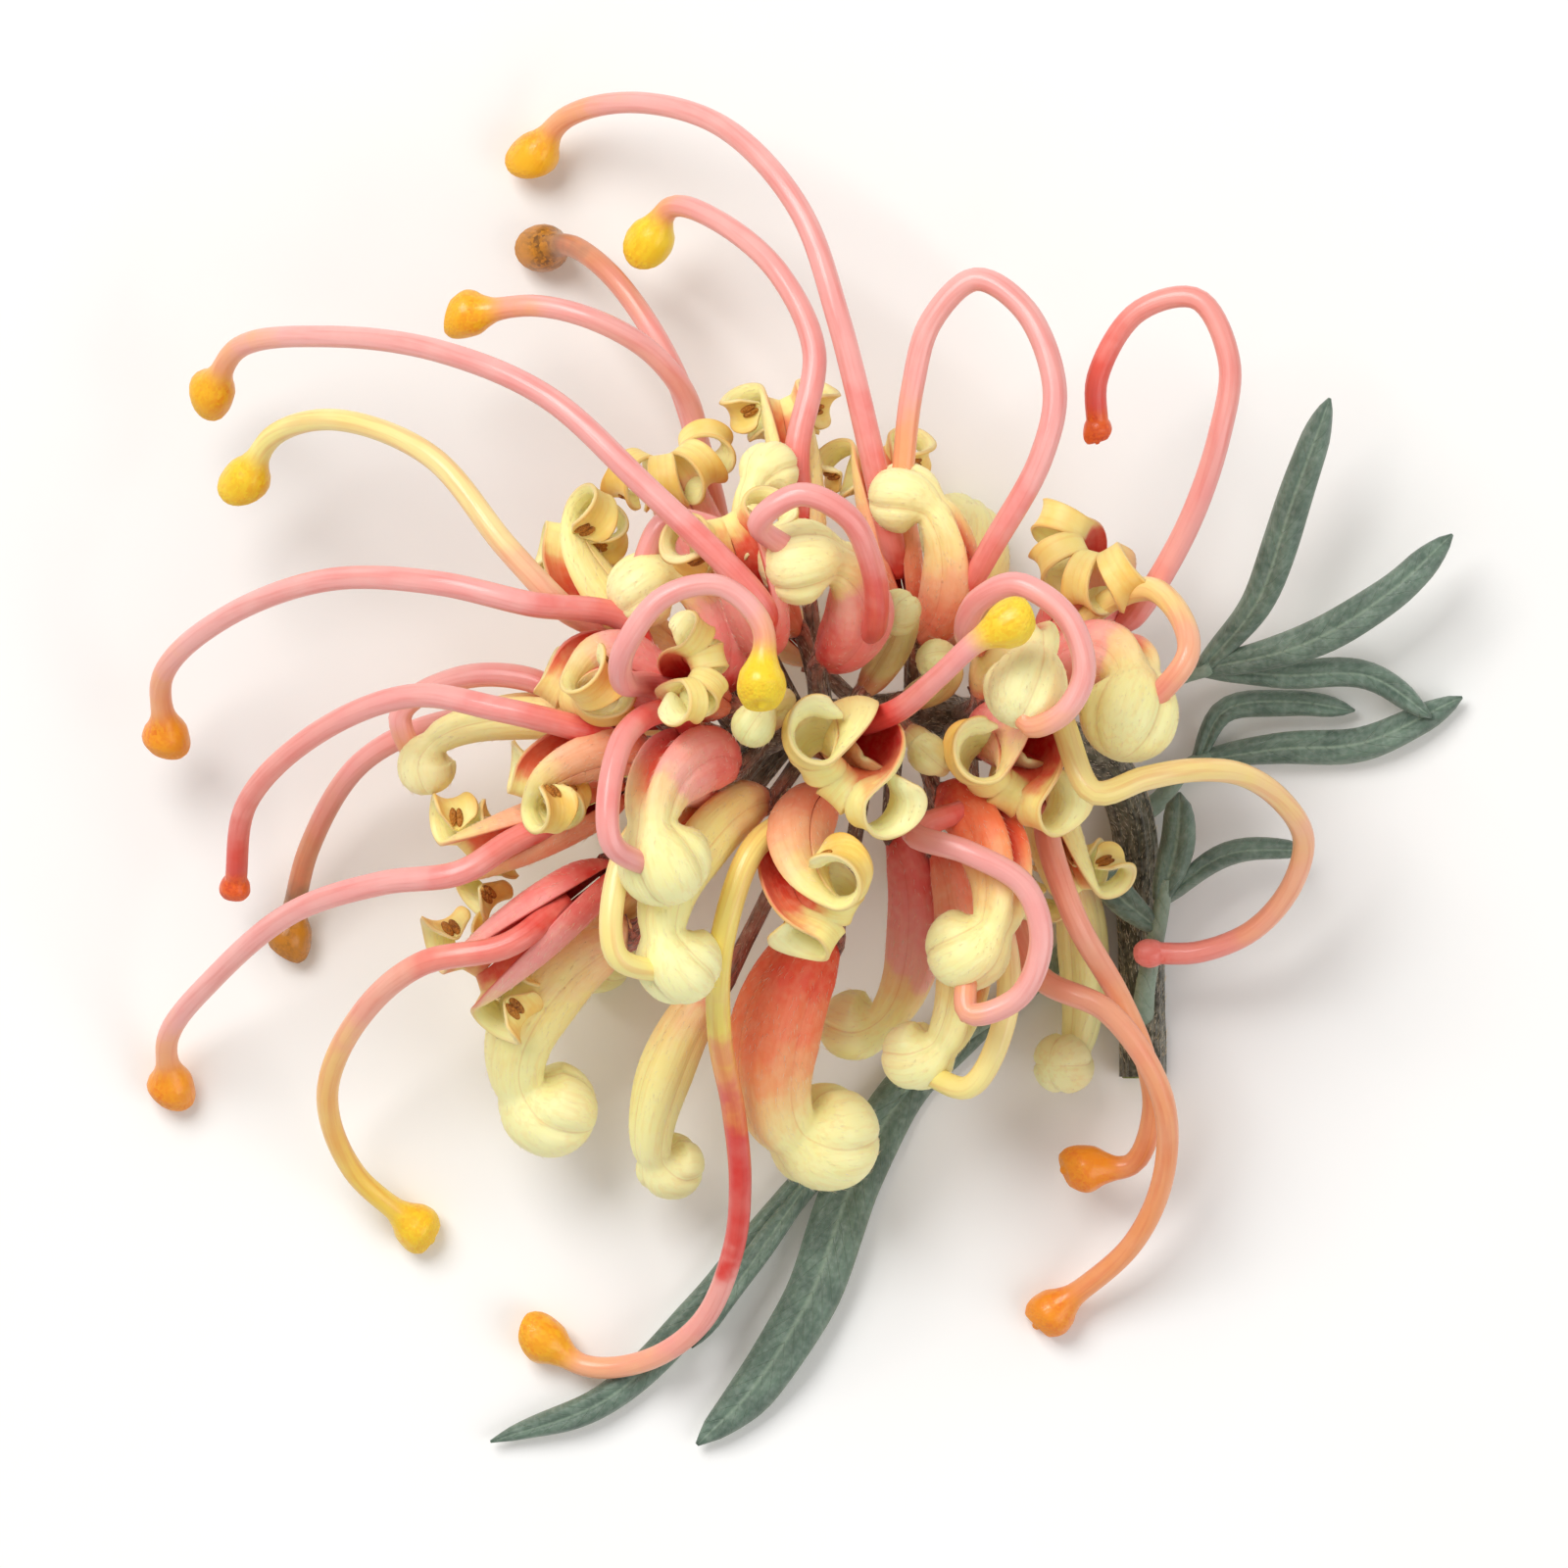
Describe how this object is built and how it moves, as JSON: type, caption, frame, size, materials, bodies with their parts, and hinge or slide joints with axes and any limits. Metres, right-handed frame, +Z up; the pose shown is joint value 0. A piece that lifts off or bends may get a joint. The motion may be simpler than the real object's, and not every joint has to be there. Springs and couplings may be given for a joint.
{
  "type": "spider grevillea flower",
  "caption": "Cut spider grevillea flower lying down: curled pink and cream florets, long arching styles with yellow pollen knobs, and a short leafy stem.",
  "frame": {"origin": "on the surface that the flower lies on, under the middle of its bounding box", "axes": "+Z up from the surface, +Y towards the head's far side with the cut end of the stem pointing to -Y, +X towards the stem and the leaves"},
  "size_m": [0.0972, 0.0996, 0.0426],
  "materials": {
    "stem": "matte",
    "leaf": "satin",
    "cream_perianth": "satin",
    "pink_perianth": "satin",
    "style": "satin"
  },
  "bodies": {
    "root": {"leaf_by_stem": "leaf", "leaf_lower": "leaf", "leaf_right": "leaf", "leaf_upper_right": "leaf", "perianth_01": "pink_perianth", "perianth_02": "cream_perianth", "perianth_03": "cream_perianth", "perianth_04": "pink_perianth", "perianth_05": "cream_perianth", "perianth_06": "cream_perianth", "perianth_07": "cream_perianth", "perianth_08": "pink_perianth", "perianth_09": "pink_perianth", "perianth_10": "cream_perianth", "perianth_11": "pink_perianth", "perianth_12": "cream_perianth", "perianth_13": "pink_perianth", "perianth_14": "pink_perianth", "perianth_15": "cream_perianth", "perianth_16": "cream_perianth", "perianth_17": "cream_perianth", "perianth_18": "pink_perianth", "perianth_19": "cream_perianth", "perianth_20": "pink_perianth", "perianth_21": "cream_perianth", "perianth_22": "pink_perianth", "perianth_23": "pink_perianth", "perianth_24": "pink_perianth", "perianth_25": "cream_perianth", "perianth_26": "cream_perianth", "perianth_27": "cream_perianth", "perianth_28": "cream_perianth", "perianth_29": "cream_perianth", "perianth_31": "cream_perianth", "perianth_32": "cream_perianth", "perianth_33": "pink_perianth", "perianth_34": "cream_perianth", "perianth_35": "cream_perianth", "perianth_36": "cream_perianth", "perianth_37": "cream_perianth", "pistil_04": "style", "pistil_05": "style", "pistil_09": "style", "pistil_10": "style", "pistil_12": "style", "pistil_13": "style", "pistil_14": "style", "pistil_15": "style", "pistil_17": "style", "pistil_20": "style", "pistil_23": "style", "pistil_25": "style", "pistil_28": "style", "pistil_29": "style", "pistil_31": "style", "pistil_32": "style", "pistil_34": "style", "pistil_36": "style", "stem_and_rachis": "stem"}
  },
  "joints": []
}
